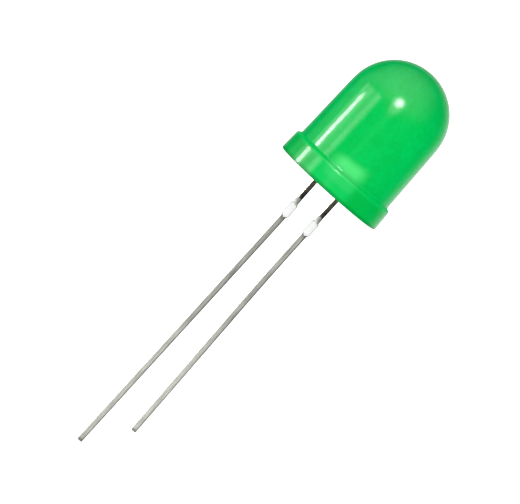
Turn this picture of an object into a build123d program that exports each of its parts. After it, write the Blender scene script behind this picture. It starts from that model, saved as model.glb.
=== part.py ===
from build123d import *

import os
from math import atan2, cos, hypot, pi, radians, sin, tan

os.makedirs("parts", exist_ok=True)

# Through hole light emitting diode: a moulded resin dome on a stamped lead frame.
# Millimetres. The seating plane is z = 0, the dome points along +Z, and the leads
# run down along -Z in the plane y = 0, with the long lead on the -X side.

# Moulded resin body
overall_height = 13.63
dome_radius = 4.9
wall_draft = 1.25
flange_height = 2.0
flange_draft = 2.4
flange_ledge = 0.37
ledge_rise = 0.17
edge_round = 0.28
root_round = 0.24

# Shallow dish that the cast resin leaves under the body, and the resin drawn down each lead
rim_width = 0.9
dish_slope_width = 1.3
dish_depth = 0.22
collar_margin = 0.08
collar_slope = 50.0
collar_inset = 0.04

# Lead frame sheet, and the square stems stamped from it
lead_pitch = 2.54
lead_width = 0.46
sheet_thickness = 0.5
stamping_round = 0.1
corner_round = 0.12

# Long lead, which carries the bonding post
anode_length = 31.3
anode_tip_splay = 0.16
anode_bend_depth = 6.0
anode_bend_radius = 90.0

# Short lead, which carries the reflector cup
cathode_length = 27.5
cathode_tip_splay = 0.3
cathode_bend_depth = 8.0
cathode_bend_inset = 0.09
cathode_bend_radius = 300.0

# Sheared tie bar stubs, which stop the leads in their holes
stub_depth = 3.0
stub_length = 1.33
stub_width = 0.72
stub_corner = 0.11

# Heads of the frame inside the resin
head_foot = 1.75
head_splay_height = 0.55
head_overhang = 0.42
flag_height = 1.75
flag_inner_reach = 0.3
neck_height = 1.5
neck_width = 1.0
frame_gap = 0.38
post_rise = 0.12

# Reflector cup, coined from the end of the short lead
cup_wall = 0.12
cup_mouth_radius = 0.5
cup_floor_radius = 0.27
cup_depth = 0.42
cup_sole = 0.43
cup_underside = 0.4

# Die on its bead of conductive adhesive
die_side = 0.3
die_height = 0.2
attach_thickness = 0.03
attach_margin = 0.03

# Bond wire, with its ball on the die and its stitch on the post
wire_diameter = 0.03
wire_sides = 8
ball_radius = 0.045
ball_height = 0.03
stitch_radius = 0.05
stitch_height = 0.02
loop_rise = 0.62
landing_rise = 0.3
loop_round = 0.18

# Outline of the body, worked out from its radii and drafts
dome_centre = overall_height - dome_radius
wall_top_radius = dome_radius * cos(radians(wall_draft))
wall_top_height = dome_centre + dome_radius * sin(radians(wall_draft))
ledge_root = flange_height + ledge_rise
wall_foot_radius = wall_top_radius + (wall_top_height - ledge_root) * tan(radians(wall_draft))
flange_top_radius = wall_foot_radius + flange_ledge
flange_foot_radius = flange_top_radius + flange_height * tan(radians(flange_draft))

# Largest rounds that leave some of the sloping ledge between them
ledge_turn = pi / 2 - atan2(ledge_rise, flange_ledge)
widest_round = 0.48 * hypot(flange_ledge, ledge_rise) / tan(ledge_turn / 2)
edge_fillet = min(edge_round, widest_round)
root_fillet = min(root_round, widest_round)

# Outline of the dish and its collars
dish_radius = flange_foot_radius - rim_width
dish_floor_radius = dish_radius - dish_slope_width
collar_radius = hypot(lead_width, sheet_thickness) / 2 + collar_margin
collar_height = 2 * dish_depth
collar_top_radius = collar_radius + collar_height * tan(radians(collar_slope))

# Places of the frame heads
lead_x = lead_pitch / 2
lead_half = lead_width / 2
head_shoulder = head_foot + head_splay_height
head_outer_x = lead_x + lead_half + head_overhang
flag_shoulder = head_shoulder + flag_height
cup_foot = flag_shoulder + neck_height
cup_floor = cup_foot + cup_sole
cup_rim = cup_floor + cup_depth
cup_outer_radius = cup_mouth_radius + cup_wall
post_top = cup_rim + post_rise
post_inner_x = cup_outer_radius + frame_gap
post_centre_x = (post_inner_x + head_outer_x) / 2

# Levels of the stack in the cup
die_foot = cup_floor + attach_thickness
die_top = die_foot + die_height


def on_run(start, end, height):
    """Point of a straight run at a height."""
    share = (height - start[1]) / (end[1] - start[1])
    return start[0] + share * (end[0] - start[0]), height


def lead_stem(top, bend, tip, bend_radius):
    """Square stem with rounded edges along a centreline of two runs, with its tie bar stub."""
    with BuildPart() as stem:
        with BuildLine(Plane.XZ) as centreline:
            FilletPolyline(top, bend, tip, radius=bend_radius)
        with BuildSketch(Plane.XY.offset(top[1])):
            with Locations((top[0], 0)):
                RectangleRounded(lead_width, sheet_thickness, stamping_round)
        sweep(path=centreline.line)
        stub_middle = -stub_depth - stub_length / 2
        run = (top, bend) if stub_middle > bend[1] else (bend, tip)
        with BuildSketch(Plane.XZ) as stub:
            with Locations(on_run(*run, stub_middle)):
                Rectangle(stub_width, stub_length)
            chamfer(stub.vertices(), stub_corner)
        extrude(amount=sheet_thickness / 2, both=True)
    return stem.part


# Long lead: bonding post, stem, stub and square cut tip
anode_top = (-lead_x, head_foot)
anode_bend = (-lead_x, -anode_bend_depth)
anode_tip = (-lead_x - anode_tip_splay, -anode_length)
with BuildPart() as anode_lead:
    with BuildSketch(Plane.XZ) as post_outline:
        with BuildLine():
            Polyline(
                (-lead_x + lead_half, head_foot),
                (-post_inner_x, head_shoulder),
                (-post_inner_x, post_top),
                (-head_outer_x, post_top),
                (-head_outer_x, head_shoulder),
                (-lead_x - lead_half, head_foot),
                close=True,
            )
        make_face()
        fillet(post_outline.vertices().group_by(Axis.Y)[1], corner_round)
    extrude(amount=sheet_thickness / 2, both=True)
    add(lead_stem(anode_top, anode_bend, anode_tip, anode_bend_radius))

anode_lead.part.label = "anode_lead"
export_step(anode_lead.part, "parts/anode_lead.step")


# Short lead: anvil with the reflector cup on the optical axis, stem, stub and tip
cathode_top = (lead_x, head_foot)
cathode_bend = (lead_x - cathode_bend_inset, -cathode_bend_depth)
cathode_tip = (lead_x + cathode_tip_splay, -cathode_length)
with BuildPart() as cathode_lead:
    with BuildSketch(Plane.XZ) as anvil_outline:
        with BuildLine():
            Polyline(
                (lead_x - lead_half, head_foot),
                (-flag_inner_reach, head_shoulder),
                (-flag_inner_reach, flag_shoulder),
                (-neck_width / 2, cup_foot),
                (-neck_width / 2, cup_foot + cup_underside),
                (neck_width / 2, cup_foot + cup_underside),
                (neck_width / 2, cup_foot),
                (head_outer_x, flag_shoulder),
                (head_outer_x, head_shoulder),
                (lead_x + lead_half, head_foot),
                close=True,
            )
        make_face()
        shoulders = anvil_outline.vertices().group_by(Axis.Y)[1:3]
        fillet([corner for level in shoulders for corner in level], corner_round)
    extrude(amount=sheet_thickness / 2, both=True)
    add(lead_stem(cathode_top, cathode_bend, cathode_tip, cathode_bend_radius))
    with BuildSketch(Plane.XZ):
        with BuildLine():
            Polyline(
                (0, cup_foot),
                (sheet_thickness / 2, cup_foot),
                (cup_outer_radius, cup_foot + cup_underside),
                (cup_outer_radius, cup_rim),
                (0, cup_rim),
                close=True,
            )
        make_face()
    revolve(axis=Axis.Z)
    with BuildSketch(Plane.XZ):
        with BuildLine():
            Polyline(
                (0, cup_floor),
                (cup_floor_radius, cup_floor),
                (cup_mouth_radius, cup_rim),
                (0, cup_rim),
                close=True,
            )
        make_face()
    revolve(axis=Axis.Z, mode=Mode.SUBTRACT)

cathode_lead.part.label = "cathode_lead"
export_step(cathode_lead.part, "parts/cathode_lead.step")


# Bead of adhesive on the floor of the cup, spread a little past the die
with BuildPart() as die_attach:
    with BuildSketch(Plane.XY.offset(cup_floor)):
        Rectangle(die_side + 2 * attach_margin, die_side + 2 * attach_margin)
    with BuildSketch(Plane.XY.offset(die_foot)):
        Rectangle(die_side, die_side)
    loft()

die_attach.part.label = "die_attach"
export_step(die_attach.part, "parts/die_attach.step")


# Square die
with BuildPart() as led_chip:
    with BuildSketch(Plane.XY.offset(die_foot)):
        Rectangle(die_side, die_side)
    extrude(amount=die_height)

led_chip.part.label = "led_chip"
export_step(led_chip.part, "parts/led_chip.step")


# Bond wire in one loop over the rim of the cup, too fine to need more than eight flats
with BuildPart() as bond_wire:
    with BuildLine(Plane.XZ) as loop:
        FilletPolyline(
            (0, die_top),
            (0, die_top + loop_rise),
            (-post_centre_x, post_top + landing_rise),
            (-post_centre_x, post_top),
            radius=loop_round,
        )
    with BuildSketch(Plane.XY.offset(die_top)):
        RegularPolygon(wire_diameter / 2, wire_sides)
    sweep(path=loop.line)
    with BuildSketch(Plane.XY.offset(die_top)):
        RegularPolygon(ball_radius, wire_sides)
    extrude(amount=ball_height)
    with BuildSketch(Plane.XY.offset(post_top)):
        with Locations((-post_centre_x, 0)):
            RegularPolygon(stitch_radius, wire_sides)
    extrude(amount=stitch_height)

bond_wire.part.label = "bond_wire"
export_step(bond_wire.part, "parts/bond_wire.step")


# Hollow under the body, with the collars of drawn resin left standing round the leads
with BuildPart() as underside_hollow:
    with BuildSketch(Plane.YZ):
        with BuildLine():
            Polyline(
                (0, 0),
                (dish_radius, 0),
                (dish_floor_radius, dish_depth),
                (0, dish_depth),
                close=True,
            )
        make_face()
    revolve(axis=Axis.Z)
    with Locations((-lead_x, 0, collar_inset), (lead_x, 0, collar_inset)):
        Cone(
            collar_radius,
            collar_top_radius,
            collar_height,
            align=(Align.CENTER, Align.CENTER, Align.MIN),
            mode=Mode.SUBTRACT,
        )

# Resin body, turned about the optical axis and cast round everything it holds
with BuildPart() as lens_body:
    with BuildSketch(Plane.YZ):
        with BuildLine():
            FilletPolyline(
                (0, 0),
                (flange_foot_radius, 0),
                (flange_top_radius, flange_height),
                (wall_foot_radius, ledge_root),
                (wall_top_radius, wall_top_height),
                radius=[0, edge_fillet, root_fillet],
            )
            CenterArc((0, dome_centre), dome_radius, wall_draft, 90 - wall_draft)
            Line((0, overall_height), (0, 0))
        make_face()
    revolve(axis=Axis.Z)
    add(underside_hollow.part, mode=Mode.SUBTRACT)
    for held in (anode_lead, cathode_lead, die_attach, led_chip, bond_wire):
        add(held.part, mode=Mode.SUBTRACT)

lens_body.part.label = "lens_body"
export_step(lens_body.part, "parts/lens_body.step")
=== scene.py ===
import math

import bpy
import numpy as np
from mathutils import Matrix, Vector


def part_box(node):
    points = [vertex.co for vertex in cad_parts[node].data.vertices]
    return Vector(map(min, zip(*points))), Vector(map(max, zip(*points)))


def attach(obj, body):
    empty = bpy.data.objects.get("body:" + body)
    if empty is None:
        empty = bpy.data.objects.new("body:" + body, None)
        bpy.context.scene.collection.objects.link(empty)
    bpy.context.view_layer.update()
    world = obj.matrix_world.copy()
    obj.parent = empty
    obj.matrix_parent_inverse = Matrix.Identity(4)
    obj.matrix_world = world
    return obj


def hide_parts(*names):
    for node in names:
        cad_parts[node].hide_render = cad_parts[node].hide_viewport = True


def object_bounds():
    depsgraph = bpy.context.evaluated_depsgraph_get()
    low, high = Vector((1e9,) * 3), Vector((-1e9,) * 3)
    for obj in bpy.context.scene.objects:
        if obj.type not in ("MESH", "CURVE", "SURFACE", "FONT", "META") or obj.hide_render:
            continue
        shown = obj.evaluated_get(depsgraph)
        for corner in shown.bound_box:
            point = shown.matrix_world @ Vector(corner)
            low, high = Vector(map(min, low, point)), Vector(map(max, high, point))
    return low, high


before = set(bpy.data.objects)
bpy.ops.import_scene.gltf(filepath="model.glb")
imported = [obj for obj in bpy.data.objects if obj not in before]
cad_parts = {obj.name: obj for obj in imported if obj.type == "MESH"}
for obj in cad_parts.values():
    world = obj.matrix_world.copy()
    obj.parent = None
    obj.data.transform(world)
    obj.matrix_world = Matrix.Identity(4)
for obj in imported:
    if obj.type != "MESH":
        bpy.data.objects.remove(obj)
cad_low, cad_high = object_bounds()

# Through hole light emitting diode: a milky green body on two leads dipped in solder.
# Sizes are named in millimetres, and the meshes are in metres.
MM = 0.001

# Moulded body, where the frame's boxes don't give its sizes
DOME_RADIUS = 4.89
WALL_DRAFT = math.radians(1.25)
SHOULDER_BLEND = math.radians(10)
FLANGE_HEIGHT = 2.0
FLANGE_LEDGE = 0.355
LEDGE_RISE = 0.17
EDGE_ROUND = 0.28
ROOT_ROUND = 0.24
FOOT_ROUND = 0.12
RIM_WIDTH = 0.9
DISH_SLOPE_WIDTH = 1.3
DISH_DEPTH = 0.22
COLLAR_RADIUS = 0.42
COLLAR_SLOPE = math.radians(50)
COLLAR_INSET = 0.04
COLLAR_BLEND = 0.03

# Lead frame stems and their tie bar stubs
LEAD_X = 1.27
STEM_TOP = 1.75
STEM_HALF_WIDTH = 0.23
STEM_HALF_DEPTH = 0.25
STUB_HALF_WIDTH = 0.36
STUB_TOP = -3.0
STUB_FOOT = -4.33

# Each stem runs from its head through one shallow bend to its tip, as (x, z)
ANODE_RUNS = ((-LEAD_X, STEM_TOP), (-1.27, -6.0), (-1.43, -31.3))
ANODE_BEND_RADIUS = 90.0
CATHODE_RUNS = ((LEAD_X, STEM_TOP), (1.18, -8.0), (1.57, -27.5))
CATHODE_BEND_RADIUS = 300.0

# Solder coat on the stems, with its bead over each stub
COAT_START = -2.3
COAT_FEATHER = 0.05
COAT_THINNING = 0.5
COAT_THICKNESS = 0.012
COAT_TIP_GAP = 0.05
BEAD_SPREAD = 0.012
BEAD_RISE = 0.03
NOTCH_DEPTH = 0.2
FACE_SHARE = 0.6

# Power of the coat's section on the stem and on the bead: the higher, the squarer
STEM_POWER = 5.0
BEAD_POWER = 10.0

# Stretches where the coat's width and its painted light and shade change, measured up from what each
# names
SWELL_FROM_FOOT = (-0.17, 0.11)
SWELL_FROM_TOP = (-0.09, 0.17)
BEAD_HIGHLIGHT_FROM_NOTCH = (-0.04, 0.06)
BEAD_HIGHLIGHT_FROM_TOP = (-0.15, 0.1)
CREASE_SHADE_FROM_FOOT = (-0.45, -0.2)
CREASE_SHADE_LIMIT_FROM_TOP = -0.7
LIT_FROM_TOP = (0.0, 0.2)
LIT_FADE_FROM_TOP = (0.15, 0.5)

# Mean depth of each painted shade, and how much it gains on the +X side and loses on the -X side
CREASE_SHADE = (0.78, 0.22)
FLANK_SHADE = (0.46, 0.24)
RIM_SHADE = (0.2, 0.08)

# Where the painted shades and the painted light set in, as shares of the half width or the half depth
FLANK_ACROSS = (0.2, 0.95)
FLANK_FACE = (0.3, 0.9)
RIM_ACROSS = (0.65, 0.95)
LIT_ACROSS = (-0.8, 0.8)

# Share by which the flanks' painted shade fades towards the tips, and the depths between which it does
FLANK_FADE = 0.4
FLANK_FADE_DEPTHS = (8, 20)

# Painted light on the -X side above the bead, and the share by which it fades upwards
LIT_SIDE_PAINTED_LIGHT = 0.75
LIT_FADE = 0.6

# Fineness of the meshes: points round a ring, and steps or rings along each stretch
AROUND_BODY = 192
AROUND_LEAD = 96
DISH_STEPS = 84
RUN_STEPS = 14
ROUND_STEPS = 8
WALL_STEPS = 120
WALL_START_GAP = 0.02
DOME_STEPS = 72
STEM_RINGS = 90
BEAD_RINGS = 84
BEAD_RINGS_MARGIN = 0.1


def straight(start, end, steps):
    """Points from start to end, closer together near both ends by a cosine spacing."""
    share = 0.5 - 0.5 * np.cos(np.linspace(0, np.pi, steps + 1))
    return np.outer(1 - share, start) + np.outer(share, end)


def corner_arc(before, corner, after, radius):
    """Arc of a radius that replaces a corner.

    Its tangent points lie radius / tan(half the angle) from the corner. The arc turns the
    vector from its centre evenly from the first tangent point to the second.
    """
    corner = np.asarray(corner, float)
    back = (before - corner) / np.linalg.norm(before - corner)
    ahead = (after - corner) / np.linalg.norm(after - corner)
    angle = math.acos(float(back @ ahead))
    middle = (back + ahead) / np.linalg.norm(back + ahead)
    centre = corner + middle * radius / math.sin(angle / 2)
    reach = radius / math.tan(angle / 2)
    first = corner + back * reach - centre
    last = corner + ahead * reach - centre
    sweep = math.pi - angle
    turn = np.linspace(0, sweep, ROUND_STEPS + 1)
    turned = np.outer(np.sin(sweep - turn), first) + np.outer(np.sin(turn), last)
    return centre + turned / math.sin(sweep)


def smooth_step(value, low, high):
    """0 below low, 1 above high, and 3t^2 - 2t^3 of the share t between them."""
    share = np.clip((value - low) / (high - low), 0, 1)
    return share * share * (3 - 2 * share)


def step_from(z, level, stretch):
    """Smooth step over a stretch of height that is given from a level."""
    return smooth_step(z, level + stretch[0], level + stretch[1])


def smooth_min(first, second, blend):
    """The lower of two values, rounded over a blend width by a quadratic where they cross."""
    share = np.clip(0.5 + 0.5 * (second - first) / blend, 0, 1)
    return second + (first - second) * share - blend * share * (1 - share)


def closed_skin(name, rings, first, last):
    """Closed mesh over rings of points, with a fan to one point at each end.

    Point j of ring i is joined to its neighbours j + 1, counted round the ring, and i + 1.
    The rings turn anticlockwise about the way they are stacked, so that faces look outwards.
    """
    count, around = rings.shape[:2]
    points = np.vstack([rings.reshape(-1, 3), first, last]) * MM
    here = np.arange(around)
    after = np.roll(here, -1)
    foot = np.arange(count - 1)[:, None] * around
    quads = np.stack([foot + here, foot + after, foot + around + after, foot + around + here], -1)
    first_fan = np.stack([np.full(around, count * around), after, here], -1)
    top = (count - 1) * around
    last_fan = np.stack([np.full(around, count * around + 1), top + here, top + after], -1)
    faces = quads.reshape(-1, 4).tolist() + first_fan.tolist() + last_fan.tolist()
    mesh = bpy.data.meshes.new(name)
    mesh.from_pydata(points.tolist(), [], faces)
    mesh.shade_smooth()
    mesh.update()
    obj = bpy.data.objects.new(name, mesh)
    bpy.context.scene.collection.objects.link(obj)
    return obj


def point_values(obj, name, values):
    """Gives each point of a mesh its own number under a name, for a material to read."""
    layer = obj.data.attributes.new(name, "FLOAT", "POINT")
    layer.data.foreach_set("value", np.asarray(values, np.float32))


def body_outline():
    """Radius and height of the body from the inner edge of its foot rim up to near its apex.

    Straight runs are joined by rounds up to the foot of the wall. From there the surface leans
    inwards by its draft, or by the lean of a sphere, arcsin((z - centre) / radius), whichever
    is more, with a rounded crossing. The tangent of the lean, summed down from where only the
    sphere is left, gives the radius at each height.
    """
    low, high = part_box("lens_body")
    foot = min(high.x, high.y, -low.x, -low.y) / MM
    apex = high.z / MM
    centre = apex - DOME_RADIUS
    join = WALL_DRAFT + SHOULDER_BLEND
    root = FLANGE_HEIGHT + LEDGE_RISE
    z = np.linspace(centre + DOME_RADIUS * math.sin(join), root, WALL_STEPS)
    sphere_lean = np.arcsin(np.maximum((z - centre) / DOME_RADIUS, -1))
    lean = -smooth_min(-sphere_lean, -WALL_DRAFT, SHOULDER_BLEND)
    steps = (z[:-1] - z[1:]) * np.tan((lean[:-1] + lean[1:]) / 2)
    radius = DOME_RADIUS * math.cos(join) + np.concatenate([[0], np.cumsum(steps)])
    wall = np.stack([radius, z], -1)[::-1]
    ledge = wall[0] + [FLANGE_LEDGE, -LEDGE_RISE]
    heel = np.array([foot, 0.0])
    rim = np.array([foot - RIM_WIDTH, 0.0])
    stops = [
        rim[None],
        corner_arc(rim, heel, ledge, FOOT_ROUND),
        corner_arc(heel, ledge, wall[0], EDGE_ROUND),
        corner_arc(ledge, wall[0], wall[1], ROOT_ROUND),
    ]
    outline = [stops[0]]
    for reached, following in zip(stops, stops[1:]):
        outline.append(straight(reached[-1], following[0], RUN_STEPS)[1:-1])
        outline.append(following)
    outline.append(wall[wall[:, 1] > stops[-1][-1, 1] + WALL_START_GAP])
    arc = np.linspace(join, math.pi / 2, DOME_STEPS)[1:-1]
    outline.append(np.stack([DOME_RADIUS * np.cos(arc), centre + DOME_RADIUS * np.sin(arc)], -1))
    return np.vstack(outline), apex


def underside_height(x, y):
    """Height of the underside over a point of the seating plane.

    The dish rises from the rim to its flat floor by a smooth step of the radius. About each
    lead a collar hangs down as a cone, whose height grows with the distance from the lead.
    The lower of the two holds, with a rounded crossing.
    """
    radius = np.hypot(x, y)
    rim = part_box("lens_body")[1].y / MM - RIM_WIDTH
    height = DISH_DEPTH * (1 - smooth_step(radius, rim - DISH_SLOPE_WIDTH, rim))
    for side in (-LEAD_X, LEAD_X):
        away = np.hypot(x - side, y)
        collar = COLLAR_INSET + np.maximum(away - COLLAR_RADIUS, 0) / math.tan(COLLAR_SLOPE)
        height = smooth_min(height, collar, COLLAR_BLEND)
    return np.maximum(height, 0)


def resin_body():
    """Body turned about the optical axis: x = r sin a, y = -r cos a, with its dished underside."""
    outline, apex = body_outline()
    inner = np.linspace(0, outline[0, 0], DISH_STEPS)[1:-1]
    turn = np.linspace(0, 2 * np.pi, AROUND_BODY, endpoint=False)
    radii = np.concatenate([inner, outline[:, 0]])[:, None]
    x = radii * np.sin(turn)
    y = -radii * np.cos(turn)
    z = np.repeat(np.concatenate([0 * inner, outline[:, 1]])[:, None], AROUND_BODY, 1)
    z[: len(inner)] = underside_height(x[: len(inner)], y[: len(inner)])
    return closed_skin("resin_body", np.stack([x, y, z], -1), (0, 0, DISH_DEPTH), (0, 0, apex))


def stem_centre(z, runs, bend_radius):
    """Sideways place of a stem's middle at a height.

    It is the mean slope of two straight runs times the distance from their bend, plus half the
    difference of their slopes times that distance's size. Within the bend's reach, which is its
    radius times half the difference, the size d becomes (d * d + reach * reach) / (2 * reach).
    """
    (top_x, top_z), (bend_x, bend_z), (tip_x, tip_z) = runs
    upper = (top_x - bend_x) / (top_z - bend_z)
    lower = (tip_x - bend_x) / (tip_z - bend_z)
    away = z - bend_z
    reach = bend_radius * abs(upper - lower) / 2
    size = np.where(np.abs(away) < reach, (away**2 + reach**2) / (2 * reach), np.abs(away))
    return bend_x + (upper + lower) / 2 * away + (upper - lower) / 2 * size


def coat_painted_light_and_shade(sideways, outward, z, over_stub):
    """Painted light and shade of the coat, from 0 to 1: the bead's highlight and the shade.

    Sideways and outward are x and |y| as shares of the coat's half width and half depth. The
    bead's painted highlight steps up at a notch shaped like a V and down near the stub's top. Above
    that the -X side keeps painted light, a part of the highlight, which fades upwards. The painted
    shade is the deepest of three: under the notch, down the edges of the stem's front and back,
    where it fades towards the tip, and round the rim of the bead. Each is deeper on the +X side.
    """
    across = np.abs(sideways)
    # Painted highlight on the bead, from the notch up to near the stub's top
    notch = STUB_FOOT - NOTCH_DEPTH * (1 - across)
    bead = step_from(z, notch, BEAD_HIGHLIGHT_FROM_NOTCH) * (1 - step_from(z, STUB_TOP, BEAD_HIGHLIGHT_FROM_TOP))

    # Painted shade under the notch, where the bead shades the stem
    under_notch = step_from(z, STUB_FOOT, CREASE_SHADE_FROM_FOOT) * (1 - bead)
    under_notch = under_notch * (z < STUB_TOP + CREASE_SHADE_LIMIT_FROM_TOP)
    under_notch = under_notch * (CREASE_SHADE[0] + CREASE_SHADE[1] * sideways)

    # Painted shade down the edges of the stem's front and back
    flank = (FLANK_SHADE[0] + FLANK_SHADE[1] * np.sign(sideways)) * smooth_step(across, *FLANK_ACROSS)
    flank = flank * smooth_step(outward, *FLANK_FACE) * (1 - over_stub) * (z < STUB_TOP)
    flank = flank * (1 - FLANK_FADE * smooth_step(-z, *FLANK_FADE_DEPTHS))

    # Painted shade round the bead's rim
    rim = (RIM_SHADE[0] + RIM_SHADE[1] * np.sign(sideways)) * smooth_step(across, *RIM_ACROSS)
    painted_shade = np.maximum(np.maximum(under_notch, flank), rim * over_stub)

    # Painted light on the -X side, above the bead
    lit = LIT_SIDE_PAINTED_LIGHT * smooth_step(-sideways, *LIT_ACROSS) * step_from(z, STUB_TOP, LIT_FROM_TOP)
    lit = lit * (1 - LIT_FADE * step_from(z, STUB_TOP, LIT_FADE_FROM_TOP))
    return np.maximum(bead, lit), painted_shade


def solder_coat(name, node, runs, bend_radius):
    """Thin closed sleeve of solder along a stem, swelling into a bead over its stub.

    A ring at a height is the curve |x/a|^n + |y/b|^n = 1 read at even angles. Over the stub the
    half width a and the power n rise by smooth steps, while the half depth b stays. The front
    and back of the bead rise by a cosine across the stub. At its upper end the coat thins out.
    """
    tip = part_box(node)[0].z / MM + COAT_TIP_GAP
    bead_low = STUB_FOOT - NOTCH_DEPTH - BEAD_RINGS_MARGIN
    z = np.concatenate([
        np.linspace(tip, bead_low, STEM_RINGS, endpoint=False),
        np.linspace(bead_low, COAT_START, BEAD_RINGS),
    ])[:, None]
    turn = np.linspace(0, 2 * np.pi, AROUND_LEAD, endpoint=False)
    over_stub = step_from(z, STUB_FOOT, SWELL_FROM_FOOT) * (1 - step_from(z, STUB_TOP, SWELL_FROM_TOP))
    thinning = COAT_THINNING * step_from(z, COAT_START, (-COAT_FEATHER, 0))
    thickness = COAT_THICKNESS * (1 - thinning)
    swelling = over_stub * (STUB_HALF_WIDTH - STEM_HALF_WIDTH + BEAD_SPREAD)
    half_width = STEM_HALF_WIDTH + thickness + swelling
    half_depth = STEM_HALF_DEPTH + thickness
    power = STEM_POWER + over_stub * (BEAD_POWER - STEM_POWER)
    flatness = np.abs(np.cos(turn) / half_width) ** power + np.abs(np.sin(turn) / half_depth) ** power
    away = flatness ** (-1 / power)
    x = away * np.cos(turn)
    y = away * np.sin(turn)
    sideways = x / half_width
    face = np.sign(y) * (np.abs(y) > FACE_SHARE * half_depth)
    y = y + face * BEAD_RISE * over_stub * np.cos(np.abs(sideways) * np.pi / 2)
    bead, painted_shade = coat_painted_light_and_shade(sideways, np.abs(y) / half_depth, z, over_stub)
    rings = np.stack([x + stem_centre(z, runs, bend_radius), y, z + 0 * x], -1)
    ends = [(float(stem_centre(h, runs, bend_radius)), 0.0, h) for h in (tip, COAT_START)]
    obj = closed_skin(name, rings, *ends)
    # Each point keeps its share of the painted highlight and of the painted shade
    for key, values in (("bead", bead), ("painted_shade", painted_shade)):
        point_values(obj, key, np.concatenate([values.ravel(), [0, 0]]))
    return obj


def fill(tree, node, inputs):
    """Gives each named input of a node a plain value or another node's output."""
    for key, value in inputs.items():
        if isinstance(value, bpy.types.NodeSocket):
            tree.links.new(value, node.inputs[key])
        else:
            node.inputs[key].default_value = value
    return node


def add(tree, kind, inputs=None, **settings):
    """Adds a node of a kind with its settings and inputs."""
    node = tree.nodes.new(kind)
    for key, value in settings.items():
        setattr(node, key, value)
    return fill(tree, node, inputs or {})


def calculate(tree, operation, *values):
    """Result of an operation on plain values and other nodes' outputs."""
    return add(tree, "ShaderNodeMath", dict(enumerate(values)), operation=operation).outputs[0]


def graded(tree, value, start, end, low=0.0, high=1.0, curve="LINEAR"):
    """Value that goes from low to high while another goes from start to end, and holds beyond."""
    span = {"Value": value, "From Min": start, "From Max": end, "To Min": low, "To Max": high}
    return add(tree, "ShaderNodeMapRange", span, interpolation_type=curve).outputs[0]


def new_group(name, inputs, output, kind):
    """Empty node group with named inputs and one output, as its tree and the nodes of both ends."""
    tree = bpy.data.node_groups.new(name, "ShaderNodeTree")
    for key, input_kind in inputs.items():
        tree.interface.new_socket(key, in_out="INPUT", socket_type=input_kind)
    tree.interface.new_socket(output, in_out="OUTPUT", socket_type=kind)
    return tree, tree.nodes.new("NodeGroupInput").outputs, tree.nodes.new("NodeGroupOutput").inputs


# Kinds of value that the node groups take in and put out
NUMBER = "NodeSocketFloat"
VECTOR = "NodeSocketVector"

# Values of the noise that become the ends of its mottle
NOISE_LOW = 0.3
NOISE_HIGH = 0.7


def noise_in_mm(tree, place, size, detail, roughness):
    """Noise about a place, whose features have a size in millimetres."""
    scale = calculate(tree, "DIVIDE", 1.0, calculate(tree, "MULTIPLY", size, MM))
    inputs = {"Vector": place, "Scale": scale, "Detail": detail, "Roughness": roughness}
    return add(tree, "ShaderNodeTexNoise", inputs).outputs[0]


def mottle_group():
    """Cloudy values from a low to a high one, by noise whose size is given in millimetres."""
    sockets = {"Vector": VECTOR, "Size": NUMBER, "Low": NUMBER, "High": NUMBER}
    tree, given, result = new_group("mottle", sockets, "Value", NUMBER)
    noise = noise_in_mm(tree, given["Vector"], given["Size"], detail=3.0, roughness=0.55)
    cloudy = graded(tree, noise, NOISE_LOW, NOISE_HIGH, given["Low"], given["High"], "SMOOTHSTEP")
    tree.links.new(cloudy, result["Value"])
    return tree


def zone_group():
    """1 between two places along a line, falling to 0 over a soft edge outside each."""
    sockets = {"Place": NUMBER, "From": NUMBER, "To": NUMBER, "Soft": NUMBER}
    tree, given, result = new_group("zone", sockets, "Mask", NUMBER)
    before = calculate(tree, "SUBTRACT", given["From"], given["Soft"])
    beyond = calculate(tree, "ADD", given["To"], given["Soft"])
    rise = graded(tree, given["Place"], before, given["From"], curve="SMOOTHSTEP")
    fall = graded(tree, given["Place"], given["To"], beyond, 1.0, 0.0, "SMOOTHSTEP")
    tree.links.new(calculate(tree, "MULTIPLY", rise, fall), result["Mask"])
    return tree


def ripple_group():
    """Normal tilted by fine noise, with its size in millimetres and its depth in micrometres."""
    sockets = {"Vector": VECTOR, "Size": NUMBER, "Depth": NUMBER}
    tree, given, result = new_group("ripple", sockets, "Normal", VECTOR)
    noise = noise_in_mm(tree, given["Vector"], given["Size"], detail=4.0, roughness=0.6)
    depth = calculate(tree, "MULTIPLY", given["Depth"], MM * MM)
    bump = add(tree, "ShaderNodeBump", {"Height": noise, "Distance": depth, "Strength": 1.0})
    tree.links.new(bump.outputs[0], result["Normal"])
    return tree


MOTTLE = mottle_group()
ZONE = zone_group()
RIPPLE = ripple_group()


def use(tree, group, inputs):
    """Places a node group with its inputs and gives its output."""
    return add(tree, "ShaderNodeGroup", inputs, node_tree=group).outputs[0]


def mottle(tree, place, size, low=0.0, high=1.0):
    """Cloudy value between two, in clouds of a size in millimetres."""
    return use(tree, MOTTLE, {"Vector": place, "Size": size, "Low": low, "High": high})


def zone(tree, place, start, end, soft):
    """1 between two places in millimetres, with a soft edge outside each."""
    return use(tree, ZONE, {"Place": place, "From": start, "To": end, "Soft": soft})


def ripple(tree, place, size, depth):
    """Normal of a rippled surface, by a size in millimetres and a depth in micrometres."""
    return use(tree, RIPPLE, {"Vector": place, "Size": size, "Depth": depth})


def blend(tree, share, first, second):
    """Colour between two colours by a share."""
    return add(tree, "ShaderNodeMix", {0: share, 6: first, 7: second}, data_type="RGBA").outputs[2]


def drawn_out(tree, place, upward):
    """Place with its upward part scaled: a pattern runs in streaks below 1, and in bands above."""
    return add(tree, "ShaderNodeMapping", {"Vector": place, "Scale": (1, 1, upward)}).outputs[0]


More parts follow.
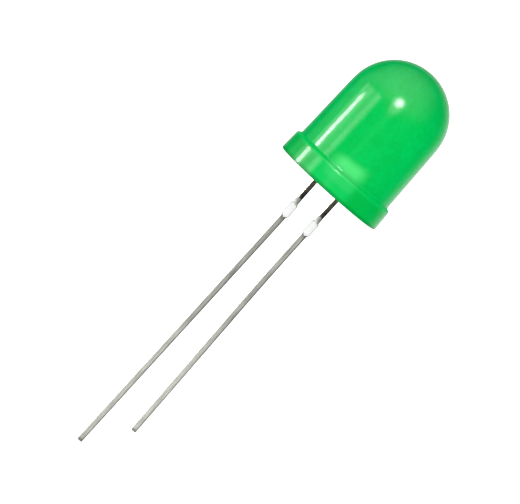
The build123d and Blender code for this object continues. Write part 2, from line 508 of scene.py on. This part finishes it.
def parts_in_mm(tree, place):
    """Sideways, forward and upward parts of a place, in millimetres."""
    scaled = add(tree, "ShaderNodeVectorMath", {0: place, "Scale": 1 / MM}, operation="SCALE")
    return add(tree, "ShaderNodeSeparateXYZ", {0: scaled.outputs[0]}).outputs


def new_material(name, constants):
    """Material with one Principled shader that has plain constants, as its tree, shader and place."""
    material = bpy.data.materials.new(name)
    material.use_nodes = True
    tree = material.node_tree
    shader = tree.nodes["Principled BSDF"]
    for key, value in constants.items():
        shader.inputs[key].default_value = value
    place = add(tree, "ShaderNodeTexCoord").outputs["Object"]
    return material, tree, shader, place


# Colours of the resin, of its painted shade and light, and of painted glows of the lead frame in it
RESIN_GREEN = (0.0, 0.53, 0.088, 1)
RESIN_CLOUD = (0.0, 0.60, 0.116, 1)
FLANGE_PAINTED_SHADE = (0.0, 0.50, 0.080, 1)
FOOT_PAINTED_SHADE = (0.0, 0.24, 0.048, 1)
LEDGE_PAINTED_LIGHT = (0.0, 0.64, 0.115, 1)
FRAME_PAINTED_GLOW = (0.004, 0.60, 0.120, 1)
FRAME_PAINTED_SHINE = (0.024, 0.63, 0.150, 1)
FLAG_PAINTED_GLOW = (0.09, 0.76, 0.215, 1)

# Zones of the resin's painted shade, light and glows, and of its dull gloss, in millimetres:
# where each starts and ends, and the width of its soft edge
FLANGE_SHADE_ZONE = (-1.0, 1.6, 0.5)
FOOT_SHADE_ZONE = (-1.0, 0.0, 0.48)
LEDGE_LIGHT_ZONE = (2.1, 2.3, 0.22)
DULL_ZONE = (2.05, 2.17, 0.15)
GLOW_ACROSS = (-2.2, 1.3, 0.95)
SHINE_ACROSS = (-1.0, 1.2, 0.95)
SHINE_UP = (1.4, 2.1, 0.6)
FLAG_ACROSS = (-0.5, 0.9, 1.4)
FLAG_UP = (2.6, 2.95, 0.9)

# Slope of the flag's painted glow against the seating plane, and the share of gloss left at the ledge
FLAG_SLOPE = 0.1
DULL_COAT = 0.15


def resin_colour(tree, place):
    """Cloudy green, with painted shade at the foot and flange and painted light at the ledge.

    Painted glows stand for light off the lead frame showing through its front and back.
    """
    x, _, z = parts_in_mm(tree, place)
    slant = calculate(tree, "MULTIPLY_ADD", x, -FLAG_SLOPE, z)
    broad = mottle(tree, place, 1.6, 0.0, 0.5)
    grain = mottle(tree, place, 0.4, 0.0, 0.5)
    # Painted shade on the flange, with a painted glow of the lead frame across its middle
    flange = blend(tree, zone(tree, x, *GLOW_ACROSS), FLANGE_PAINTED_SHADE, FRAME_PAINTED_GLOW)
    # Masks of the painted glows of the lead frame
    shine = calculate(tree, "MULTIPLY", zone(tree, x, *SHINE_ACROSS), zone(tree, z, *SHINE_UP))
    flag = calculate(tree, "MULTIPLY", zone(tree, x, *FLAG_ACROSS), zone(tree, slant, *FLAG_UP))
    body = blend(tree, calculate(tree, "ADD", broad, grain), RESIN_GREEN, RESIN_CLOUD)
    body = blend(tree, zone(tree, z, *FLANGE_SHADE_ZONE), body, flange)
    # Painted shade at the foot
    body = blend(tree, zone(tree, z, *FOOT_SHADE_ZONE), body, FOOT_PAINTED_SHADE)
    # Painted light on the ledge, lifting its shade
    body = blend(tree, zone(tree, z, *LEDGE_LIGHT_ZONE), body, LEDGE_PAINTED_LIGHT)
    # Painted glows of light off the lead frame, through the resin
    body = blend(tree, shine, body, FRAME_PAINTED_SHINE)
    return blend(tree, flag, body, FLAG_PAINTED_GLOW)


def milky_resin():
    """Green dyed epoxy: light scatters under a glossy skin, which is dull at the ledge."""
    material, tree, shader, place = new_material("milky_green_resin", {
        "Subsurface Weight": 1.0,
        "Subsurface Radius": (0.3, 1.0, 0.5),
        "Subsurface Scale": 1.0 * MM,
        "Specular IOR Level": 0.0,
        "Coat IOR": 1.5,
        "Coat Roughness": 0.125,
    })
    dull = zone(tree, parts_in_mm(tree, place)[2], *DULL_ZONE)
    fill(tree, shader, {
        "Base Color": resin_colour(tree, place),
        "Coat Weight": graded(tree, dull, 0.0, 1.0, 1.0, DULL_COAT),
        "Normal": ripple(tree, place, 1.2, 2.0),
    })
    return material


# Colours of the plated steel and where it clears up the stem, then the painted highlight down
# the -X side of each stem, where it ends across it, and its strength
TARNISH_DARK = (0.14, 0.123, 0.093, 1)
TARNISH_LIGHT = (0.22, 0.195, 0.15, 1)
CLEAR_PLATING = (0.93, 0.85, 0.71, 1)
SIDE_PAINTED_HIGHLIGHT = (0.95, 0.88, 0.76, 1)
CLEAR_UP = (-1.8, -0.2)
SIDE_HIGHLIGHT_ACROSS = (-0.15, 0.05)
SIDE_HIGHLIGHT_SHARE = 0.6


def tarnished_plating():
    """Stamped steel whose thin plating has tarnished brown.

    It is clearer near the resin, and a painted highlight lightens the -X side of each stem. The two
    stems stand one pitch apart, so the sideways place wrapped over the pitch is the same across both.
    """
    material, tree, shader, place = new_material("tarnished_plating", {"Metallic": 0.98})
    streaks = drawn_out(tree, place, upward=0.08)
    x, _, z = parts_in_mm(tree, place)
    across = calculate(tree, "WRAP", x, 2 * LEAD_X, 0.0)
    # Painted highlight: the -X side of each stem is lighter, as if lit from that side
    side = graded(tree, across, LEAD_X + SIDE_HIGHLIGHT_ACROSS[0], LEAD_X + SIDE_HIGHLIGHT_ACROSS[1], SIDE_HIGHLIGHT_SHARE, 0.0)
    steel = blend(tree, mottle(tree, streaks, 0.12), TARNISH_DARK, TARNISH_LIGHT)
    steel = blend(tree, graded(tree, z, *CLEAR_UP), steel, CLEAR_PLATING)
    fill(tree, shader, {
        "Base Color": blend(tree, side, steel, SIDE_PAINTED_HIGHLIGHT),
        "Roughness": mottle(tree, place, 0.3, 0.16, 0.22),
        "Normal": ripple(tree, streaks, 0.08, 0.08),
    })
    return material


# Colours of the solder, of the bead's painted highlight, and of the painted shade in its creases
SOLDER_DARK = (0.22, 0.22, 0.195, 1)
SOLDER_LIGHT = (0.66, 0.66, 0.60, 1)
BEAD_PAINTED_HIGHLIGHT = (0.88, 0.88, 0.87, 1)
SOLDER_PAINTED_SHADE = (0.10, 0.10, 0.09, 1)

# How much lighter the stems grow towards their tips, and how much lighter the +X one is
LIGHTER_DOWN = (-13.0, -21.0)
LIGHTER_DOWN_SHARE = 0.4
BETWEEN_LEADS = (-0.5, 0.5)
LIGHTER_LEAD_SHARE = 0.1


def dipped_solder():
    """Solder coat: painted highlight on the bead, painted shade in creases, dull and mottled down the
    stem.

    The stems grow lighter towards their tips, and the one on the +X side is a little lighter.
    """
    material, tree, shader, place = new_material("dipped_solder", {})
    # Shares of the painted highlight and painted shade, kept on the coat's points
    bead = add(tree, "ShaderNodeAttribute", attribute_name="bead").outputs["Fac"]
    painted_shade = add(tree, "ShaderNodeAttribute", attribute_name="painted_shade").outputs["Fac"]
    x, _, z = parts_in_mm(tree, place)
    cloud = mottle(tree, drawn_out(tree, place, upward=0.07), 0.12, 0.0, 0.5)
    downward = graded(tree, z, *LIGHTER_DOWN)
    lead = graded(tree, x, *BETWEEN_LEADS, 0.0, LIGHTER_LEAD_SHARE)
    light = calculate(tree, "MULTIPLY_ADD", downward, LIGHTER_DOWN_SHARE, cloud)
    stem = blend(tree, calculate(tree, "ADD", lead, light), SOLDER_DARK, SOLDER_LIGHT)
    fill(tree, shader, {
        # Painted highlight on the bead and painted shade over the stem's colour
        "Base Color": blend(tree, painted_shade, blend(tree, bead, stem, BEAD_PAINTED_HIGHLIGHT), SOLDER_PAINTED_SHADE),
        "Metallic": graded(tree, bead, 0.0, 1.0, 0.7, 0.15),
        "Roughness": graded(tree, bead, 0.0, 1.0, 0.55, 0.4),
        "Normal": ripple(tree, place, 0.1, 3.0),
    })
    return material


DIE_DARK = (0.24, 0.26, 0.08, 1)
DIE_LIGHT = (0.36, 0.37, 0.16, 1)


def sawn_die():
    """Sawn semiconductor, dark yellow green with finely scratched sides."""
    material, tree, shader, place = new_material("sawn_die", {"IOR": 2.4})
    cuts = drawn_out(tree, place, upward=12)
    fill(tree, shader, {
        "Base Color": blend(tree, mottle(tree, cuts, 0.1), DIE_DARK, DIE_LIGHT),
        "Roughness": mottle(tree, cuts, 0.05, 0.3, 0.5),
    })
    return material


ADHESIVE_BINDER = (0.42, 0.42, 0.42, 1)
ADHESIVE_FLAKE = (0.75, 0.75, 0.76, 1)


def silver_adhesive():
    """Cured adhesive with flakes of silver at its surface."""
    material, tree, shader, place = new_material("silver_adhesive", {})
    flake = mottle(tree, place, 0.012)
    fill(tree, shader, {
        "Base Color": blend(tree, flake, ADHESIVE_BINDER, ADHESIVE_FLAKE),
        "Metallic": flake,
        "Roughness": mottle(tree, place, 0.02, 0.35, 0.6),
    })
    return material


GOLD_DEEP = (0.83, 0.62, 0.25, 1)
GOLD_LIGHT = (0.93, 0.72, 0.34, 1)


def drawn_gold():
    """Bright gold wire with faint drawing marks."""
    material, tree, shader, place = new_material("drawn_gold", {"Metallic": 1.0})
    fill(tree, shader, {
        "Base Color": blend(tree, mottle(tree, place, 0.02), GOLD_DEEP, GOLD_LIGHT),
        "Roughness": mottle(tree, place, 0.01, 0.15, 0.3),
    })
    return material


def dress(obj, material):
    """Gives an object one material in place of those that it has."""
    obj.data.materials.clear()
    obj.data.materials.append(material)


# Pieces of the object
resin = resin_body()
dress(resin, milky_resin())
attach(resin, "root")
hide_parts("lens_body")

solder = dipped_solder()
for name, node, runs, bend_radius in (
    ("anode_solder_coat", "anode_lead", ANODE_RUNS, ANODE_BEND_RADIUS),
    ("cathode_solder_coat", "cathode_lead", CATHODE_RUNS, CATHODE_BEND_RADIUS),
):
    coat = solder_coat(name, node, runs, bend_radius)
    dress(coat, solder)
    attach(coat, "root")

steel = tarnished_plating()
for node, material in (
    ("anode_lead", steel),
    ("cathode_lead", steel),
    ("led_chip", sawn_die()),
    ("die_attach", silver_adhesive()),
    ("bond_wire", drawn_gold()),
):
    dress(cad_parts[node], material)


# Photograph's frame: the picture's size and the place of the seating point in it, in pixels
PICTURE = (520, 504)
SEATING_POINT = (328.05, 188.5)
PIXELS_PER_MM = 11.33

# Camera's angle above the seating plane and its roll, and its lens and sensor in millimetres
ELEVATION = math.radians(3.6)
ROLL = math.radians(42.04)
LENS = 600.0
SENSOR = 36.0

# Nearest and farthest that the camera sees, in multiples of its distance
CLIP_START = 0.1
CLIP_END = 20.0


def add_camera():
    """Camera at the photograph's angle, rolled so that the dome points up to the right."""
    ahead = Vector((0, math.cos(ELEVATION), -math.sin(ELEVATION)))
    level_up = Vector((0, math.sin(ELEVATION), math.cos(ELEVATION)))
    right = Vector((math.cos(ROLL), 0, 0)) + math.sin(ROLL) * level_up
    up = Vector((-math.sin(ROLL), 0, 0)) + math.cos(ROLL) * level_up
    shift_x = (SEATING_POINT[0] - PICTURE[0] / 2) / PIXELS_PER_MM * MM
    shift_y = (PICTURE[1] / 2 - SEATING_POINT[1]) / PIXELS_PER_MM * MM
    aim = -shift_x * right - shift_y * up
    distance = PICTURE[0] / PIXELS_PER_MM * MM * LENS / SENSOR
    data = bpy.data.cameras.new("camera")
    data.lens = LENS
    data.sensor_width = SENSOR
    data.clip_start = distance * CLIP_START
    data.clip_end = distance * CLIP_END
    camera = bpy.data.objects.new("camera", data)
    turned = Matrix((right, up, -ahead)).transposed().to_4x4()
    camera.matrix_world = Matrix.Translation(aim - ahead * distance) @ turned
    bpy.context.scene.collection.objects.link(camera)
    bpy.context.scene.camera = camera


# Distance of the softboxes and the place that they face, in metres
LIGHT_DISTANCE = 0.6
LIGHT_CENTRE = Vector((0, 0, 0.005))

# Softboxes that only gloss shows: name, azimuth from the camera's side towards +X and elevation
# in degrees, width and height in degrees, and radiance. Equal sides make a round one.
SOFTBOXES = (
    ("key_halo", -10.0, 28.3, 28, 28, 1.9),
    ("key", -9.0, 28.3, 18.5, 18.5, 6.5),
    ("key_core", -9.0, 28.3, 11, 11, 25.0),
    ("strip", -82.5, -6.0, 9, 13, 15.0),
    ("strip_halo", -84, 0.0, 26, 20, 1.1),
    ("side_panel", -60, 1.5, 34, 21, 0.95),
    ("side_panel_edge", -52, 1.5, 9, 21, 1.1),
)


def facing(azimuth, elevation):
    """Unit vector from the object towards a place on the sky."""
    azimuth, elevation = math.radians(azimuth), math.radians(elevation)
    return Vector((
        math.sin(azimuth) * math.cos(elevation),
        -math.cos(azimuth) * math.cos(elevation),
        math.sin(elevation),
    ))


def add_softbox(name, azimuth, elevation, width, height, radiance):
    """Area light of an angular size, turned to the object.

    Its power is four times its radiance times the area of its rectangle or circle.
    """
    data = bpy.data.lights.new(name, "AREA")
    data.shape = "DISK" if width == height else "RECTANGLE"
    data.size = 2 * LIGHT_DISTANCE * math.tan(math.radians(width / 2))
    data.size_y = 2 * LIGHT_DISTANCE * math.tan(math.radians(height / 2))
    area = data.size * data.size_y * (math.pi / 4 if data.shape == "DISK" else 1)
    data.energy = radiance * 4 * area
    softbox = bpy.data.objects.new(name, data)
    away = facing(azimuth, elevation)
    softbox.location = LIGHT_CENTRE + away * LIGHT_DISTANCE
    softbox.rotation_euler = away.to_track_quat("Z", "Y").to_euler()
    softbox.visible_camera = False
    softbox.visible_diffuse = False
    bpy.context.scene.collection.objects.link(softbox)


# White tent round the object: azimuth and elevation of each glow, the angle at which it ends,
# the power of its falling off, and the radiance in its middle
CANOPY = (-33, 46, 84, 1.3, 1.3)
BACKDROP = (
    (164, -3, 53, 1.5, 0.82),
    (-100, 5, 30, 1.0, 0.35),
    (-9, 16, 16, 1.2, 2.8),
)
MATT_TENT = (
    (0, -20, 90, 1.0, 1.2),
    (-40, 50, 80, 1.0, 0.12),
)

# Height on the sky, as a share of its top, at which the canopy is full
CANOPY_RISE = 0.6

# Radiance that each tent has everywhere
GLOSS_FLOOR = 0.01
MATT_FLOOR = 0.44


def glow(tree, sky, azimuth, elevation, edge, power, radiance):
    """Light from one side of the sky, falling from its middle to nothing at the edge angle.

    It is the radiance times a power of (c - e) / (1 - e), where c is the cosine of the angle
    from the middle, and e is the cosine of the edge angle.
    """
    middle = {0: sky, 1: facing(azimuth, elevation)}
    cosine = add(tree, "ShaderNodeVectorMath", middle, operation="DOT_PRODUCT").outputs["Value"]
    share = graded(tree, cosine, math.cos(math.radians(edge)), 1.0)
    return calculate(tree, "MULTIPLY", calculate(tree, "POWER", share, power), radiance)


def tent_light(tree, sky, glows, least):
    """Sum of the glows of a tent, on top of its least radiance."""
    total = least
    for row in glows:
        total = calculate(tree, "ADD", glow(tree, sky, *row), total)
    return total


def choice(tree, share, first, second):
    """The second of two values where a share is 1, and the first where it is 0."""
    return add(tree, "ShaderNodeMix", {0: share, 2: first, 3: second}, data_type="FLOAT").outputs[0]


def add_world():
    """White to the eye, a soft light from the front for matt surfaces, a tent of glows for gloss."""
    world = bpy.data.worlds.new("studio")
    world.use_nodes = True
    bpy.context.scene.world = world
    tree = world.node_tree
    tree.nodes.clear()
    sky = add(tree, "ShaderNodeTexCoord").outputs["Generated"]
    ray = add(tree, "ShaderNodeLightPath").outputs
    height = add(tree, "ShaderNodeSeparateXYZ", {0: sky}).outputs["Z"]
    above = graded(tree, height, 0.0, CANOPY_RISE, curve="SMOOTHSTEP")
    canopy = calculate(tree, "MULTIPLY", glow(tree, sky, *CANOPY), above)
    gloss = calculate(tree, "ADD", tent_light(tree, sky, BACKDROP, GLOSS_FLOOR), canopy)
    matt = tent_light(tree, sky, MATT_TENT, MATT_FLOOR)
    lighting = choice(tree, ray["Is Glossy Ray"], matt, gloss)
    strength = choice(tree, ray["Is Camera Ray"], lighting, 1.0)
    shader = add(tree, "ShaderNodeBackground", {"Color": (1, 1, 1, 1), "Strength": strength})
    output = add(tree, "ShaderNodeOutputWorld", {"Surface": shader.outputs[0]})
    output.is_active_output = True


# Width of the floor in metres, and its gap under the longer lead in millimetres
FLOOR_SIZE = 8.0
FLOOR_GAP = 0.05


def add_floor():
    """Plain white floor just under the tip of the longer lead, which shows no shadow."""
    half = FLOOR_SIZE / 2
    low = cad_low.z - FLOOR_GAP * MM
    corners = [(-half, -half, low), (half, -half, low), (half, half, low), (-half, half, low)]
    mesh = bpy.data.meshes.new("floor")
    mesh.from_pydata(corners, [], [(0, 1, 2, 3)])
    floor = bpy.data.objects.new("floor", mesh)
    bpy.context.scene.collection.objects.link(floor)
    dress(floor, new_material("white_floor", {
        "Base Color": (0.9, 0.9, 0.9, 1),
        "Roughness": 0.9,
        "Emission Color": (1, 1, 1, 1),
        "Emission Strength": 1.0,
    })[0])
    floor.visible_diffuse = False
    floor.visible_glossy = False
    floor.visible_transmission = False
    floor.visible_shadow = False


add_camera()
for row in SOFTBOXES:
    add_softbox(*row)
add_world()
add_floor()
bpy.context.scene.view_settings.view_transform = "Standard"
